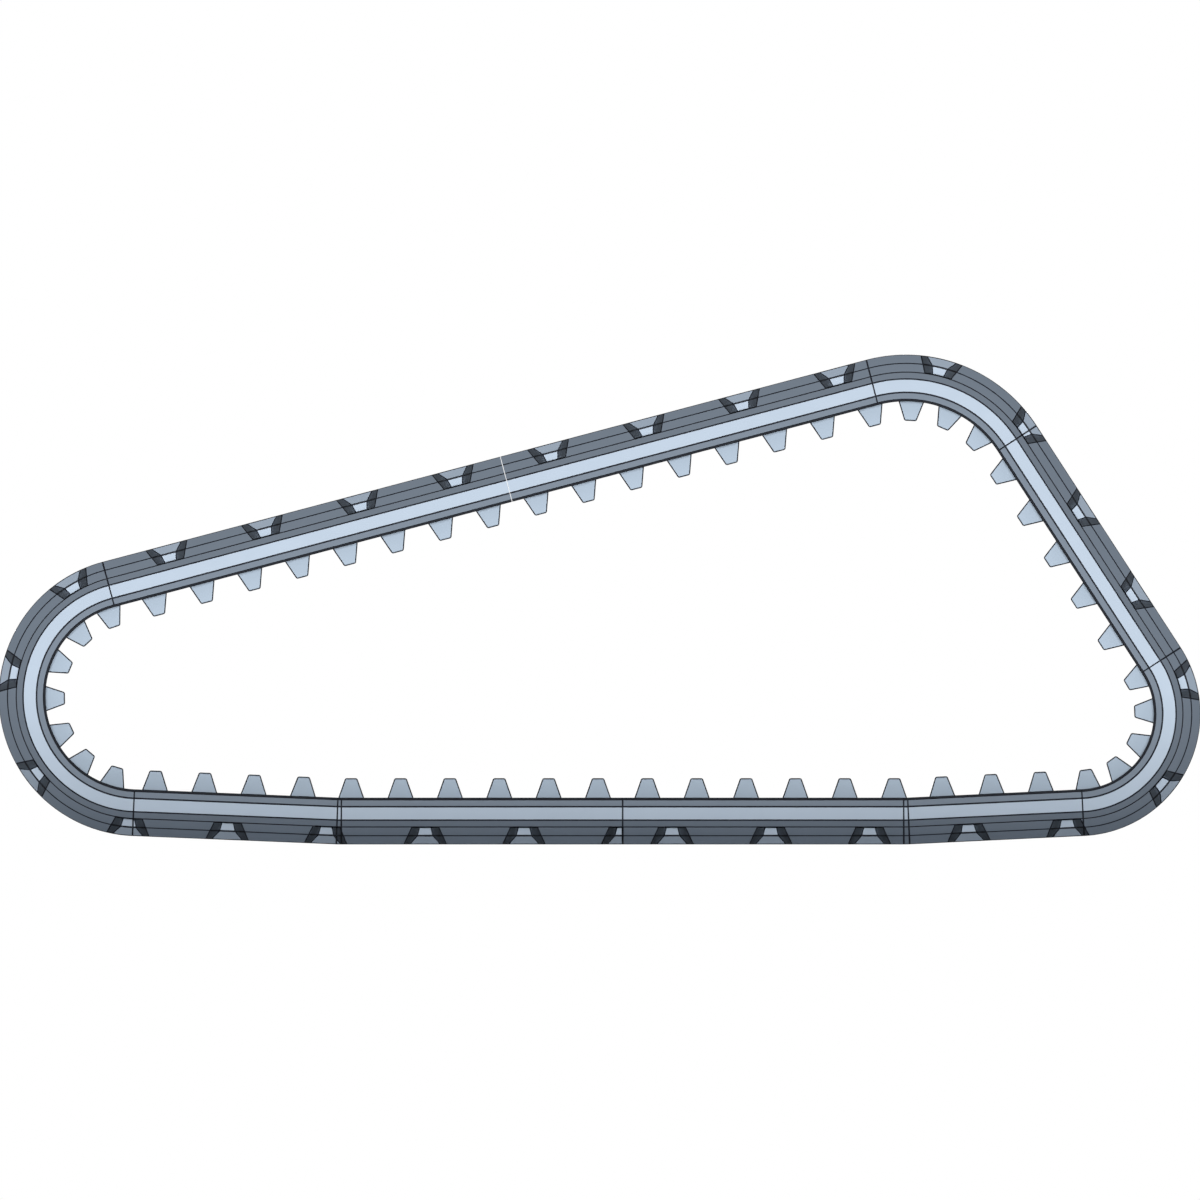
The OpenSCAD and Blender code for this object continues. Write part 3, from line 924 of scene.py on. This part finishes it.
class TRACK_OT_guide_lugs(bpy.types.Operator):
    """Mould the pair of guide lugs on each link"""

    bl_idname = "track.guide_lugs"
    bl_label = "Guide Lugs"
    bl_options = {"REGISTER", "UNDO"}

    def execute(self, context):
        scene = context.scene
        belt, lugs = Belt(scene), scene.track_lug
        group = collection(scene, "guide_lugs")
        finish = belt.finish
        # Painted light: the lugs' sides take the lit lug tone and their other faces the painted shade tone.
        rubber = rubber_material("moulded_lug", finish.lug, finish.dark, grain=600.0)
        materials = [rubber, edge_material(finish)]
        pattern = bpy.data.meshes.new("lug_pattern")
        one = lug_mesh(belt, lugs)
        one.to_mesh(pattern)
        one.free()
        for stretch in STRETCHES:
            made = bmesh.new()
            for link in belt.links_in(stretch):
                stand = belt.path.square_to((link + 0.5) * belt.sizes.pitch)
                for side in (-1.0, 1.0):
                    known = len(made.verts)
                    made.from_mesh(pattern)
                    made.verts.ensure_lookup_table()
                    place = stand @ Matrix.Translation((0.0, side * lugs.across, 0.0))
                    bmesh.ops.transform(made, matrix=place, verts=made.verts[known:])
            piece = keep(f"lugs_of_{stretch}", made, materials, group)
            stand_in(piece, stretch, f"guide_lugs_{stretch}")
        bpy.data.meshes.remove(pattern)
        return {"FINISHED"}


class TRACK_OT_flex_webs(bpy.types.Operator):
    """Mould the rubber of each flexing zone, bent between its two stretches"""

    bl_idname = "track.flex_webs"
    bl_label = "Flex Webs"
    bl_options = {"REGISTER", "UNDO"}

    def execute(self, context):
        belt = Belt(context.scene)
        group = collection(context.scene, "flex_webs")
        finish = belt.finish
        layers = {
            "carcass": (carcass_cell, carcass_material(finish)),
            "tread": (tread_cell, tread_material(finish)),
            "path": (rail_cell, path_material(finish)),
        }
        for name in JOINTS:
            low, high = belt.web_span(name)
            start, end = self.bend_limits(belt, low, high)
            for layer, (cell, rubber) in layers.items():
                made = band(belt, cell, low, high)
                materials = [rubber, edge_material(finish)]
                piece = keep(f"web_{layer}_{name}", made, materials, group)
                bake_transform(piece)
                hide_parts("flex_web_" + name)
        return {"FINISHED"}

    @staticmethod
    def bend_limits(belt, low, high):
        """Two points on a web's chord, inward of both its end faces, between which it could bend; nothing here
        bends it.
        """
        depth, total = belt.sizes.cord_depth, belt.sizes.carcass_t + belt.sizes.tread_t
        start, end = (belt.path.place(s, 0.0, depth) for s in (low, high))
        way = (end - start).normalized()
        ends = [belt.path.place(s, 0.0, d) for s in (low, high) for d in (0.0, total)]
        into = max((p - start).dot(way) for p in ends[:2])
        back = max((end - p).dot(way) for p in ends[2:])
        return start + way * max(into, 0.0), end - way * max(back, 0.0)


class TRACK_OT_reinforcement(bpy.types.Operator):
    """Give the forged inserts, the steel cords and the fabric ply their finishes"""

    bl_idname = "track.reinforcement"
    bl_label = "Reinforcement"
    bl_options = {"REGISTER", "UNDO"}

    def execute(self, context):
        finish = context.scene.track_finish
        finishes = {
            "core_inserts": steel_material("forged_scale", finish.forged, 0.5, (1.0, 1.0, 1.0)),
            "steel_cords": steel_material("brass_plated_cord", finish.cord, 0.3, (0.2, 4.0, 1.0)),
            "fabric_ply": ply_material("dipped_ply", finish.ply),
        }
        for kind, material in finishes.items():
            for stretch in STRETCHES:
                mesh = frame["nodes"][f"{kind}_{stretch}"].data
                mesh.materials.clear()
                mesh.materials.append(material)
        return {"FINISHED"}


class TRACK_OT_stage(bpy.types.Operator):
    """Set the floor, the soft lights and the camera"""

    bl_idname = "track.stage"
    bl_label = "Stage"
    bl_options = {"REGISTER", "UNDO"}

    def execute(self, context):
        scene = context.scene
        group = collection(scene, "stage")
        self.floor(scene, group)
        self.lights(group)
        self.surroundings(scene)
        self.camera(scene, group)
        return {"FINISHED"}

    @staticmethod
    def floor(scene, group):
        """A plain pale floor, a hair below the tread."""
        reach, drop = 9.0, 0.0005
        made = bmesh.new()
        corners = [(-reach, -reach), (reach, -reach), (reach, reach), (-reach, reach)]
        made.faces.new([made.verts.new((x, y, -drop)) for x, y in corners])
        material, tree, shader = blank_material("pale_floor")
        dust = noise_of(tree, 3.0, 3.0)
        tone = node(tree, "RGB")
        tone.outputs[0].default_value = (*scene.track_finish.floor, 1.0)
        tree.links.new(
            tinted(tree, tone.outputs[0], remap(tree, dust, 0.98, 1.0)),
            shader.inputs["Base Color"],
        )
        shader.inputs["Roughness"].default_value = 0.9
        seen = node(tree, "LightPath").outputs["Is Camera Ray"]
        shader.inputs["Emission Color"].default_value = (0.97, 0.98, 1.0, 1.0)
        tree.links.new(maths(tree, "MULTIPLY", seen, 0.5), shader.inputs["Emission Strength"])
        floor = keep("floor", made, [material], group)

    @staticmethod
    def lights(group):
        """Two broad lights square to the belt's sides, and a weak one from above."""
        directions = {
            "near_light": ((0.0, 1.0, 0.0), 4.6),
            "far_light": ((0.0, -1.0, 0.0), 4.6),
            "top_light": ((0.15, 0.1, -1.0), 0.3),
        }
        for name, (way, strength) in directions.items():
            data = bpy.data.lights.new(name, "SUN")
            data.energy = strength
            data.angle = math.radians(4)
            light = bpy.data.objects.new(name, data)
            light.rotation_euler = Vector(way).to_track_quat("-Z", "Y").to_euler()
            group.objects.link(light)

    @staticmethod
    def surroundings(scene):
        """A white backdrop that gives the belt only a faint light of its own."""
        world = bpy.data.worlds.new("studio")
        scene.world = world
        scene.view_settings.view_transform = "Standard"
        world.use_nodes = True
        tree = world.node_tree
        tree.nodes.clear()
        seen, glow = node(tree, "Background"), node(tree, "Background")
        seen.inputs["Color"].default_value = (1.0, 1.0, 1.0, 1.0)
        seen.inputs["Strength"].default_value = 1.0
        glow.inputs["Color"].default_value = (0.95, 0.97, 1.0, 1.0)
        glow.inputs["Strength"].default_value = 0.07
        mix, path = node(tree, "MixShader"), node(tree, "LightPath")
        output = node(tree, "OutputWorld")
        tree.links.new(path.outputs["Is Camera Ray"], mix.inputs["Fac"])
        tree.links.new(glow.outputs[0], mix.inputs[1])
        tree.links.new(seen.outputs[0], mix.inputs[2])
        tree.links.new(mix.outputs[0], output.inputs["Surface"])

    @staticmethod
    def camera(scene, group):
        """A square side view that the track fills from edge to edge."""
        centre = (CAD_LOW + CAD_HIGH) / 2
        data = bpy.data.cameras.new("side_camera")
        data.type = "ORTHO"
        data.ortho_scale = (CAD_HIGH.x - CAD_LOW.x) * 0.9986
        data.clip_end = 50.0
        camera = bpy.data.objects.new("side_camera", data)
        camera.location = (centre.x + 0.0007, -6.0, centre.z - 0.0008)
        camera.rotation_euler = (math.pi / 2, 0.0, 0.0)
        group.objects.link(camera)
        scene.camera = camera


class TRACK_PT_pieces(bpy.types.Panel):
    """Lists the sizes and the steps of the build"""

    bl_idname = "TRACK_PT_pieces"
    bl_label = "Rubber Track"
    bl_space_type = "VIEW_3D"
    bl_region_type = "UI"
    bl_category = "Track"

    def draw(self, context):
        scene = context.scene
        for title, holder in (
            ("Belt", scene.track_belt),
            ("Section", scene.track_section),
            ("Pockets and windows", scene.track_pocket),
            ("Guide lugs", scene.track_lug),
            ("Finishes", scene.track_finish),
        ):
            box = self.layout.box()
            box.label(text=title)
            for name in holder.__annotations__:
                box.prop(holder, name)
        for operator in OPERATORS:
            self.layout.operator(operator.bl_idname)


GROUPS = {
    "track_belt": BeltSizes,
    "track_section": SectionSizes,
    "track_pocket": PocketSizes,
    "track_lug": LugSizes,
    "track_finish": Finishes,
}
OPERATORS = (
    TRACK_OT_carcass,
    TRACK_OT_tread,
    TRACK_OT_roller_paths,
    TRACK_OT_guide_lugs,
    TRACK_OT_flex_webs,
    TRACK_OT_reinforcement,
    TRACK_OT_stage,
)


def register():
    for group in GROUPS.values():
        bpy.utils.register_class(group)
    for name, group in GROUPS.items():
        setattr(bpy.types.Scene, name, PointerProperty(type=group))
    for operator in OPERATORS:
        bpy.utils.register_class(operator)
    bpy.utils.register_class(TRACK_PT_pieces)


def unregister():
    bpy.utils.unregister_class(TRACK_PT_pieces)
    for operator in reversed(OPERATORS):
        bpy.utils.unregister_class(operator)
    for name in GROUPS:
        delattr(bpy.types.Scene, name)
    for group in reversed(GROUPS.values()):
        bpy.utils.unregister_class(group)


def main():
    register()
    for operator in OPERATORS:
        family, name = operator.bl_idname.split(".")
        getattr(getattr(bpy.ops, family), name)()


if __name__ == "__main__":
    main()
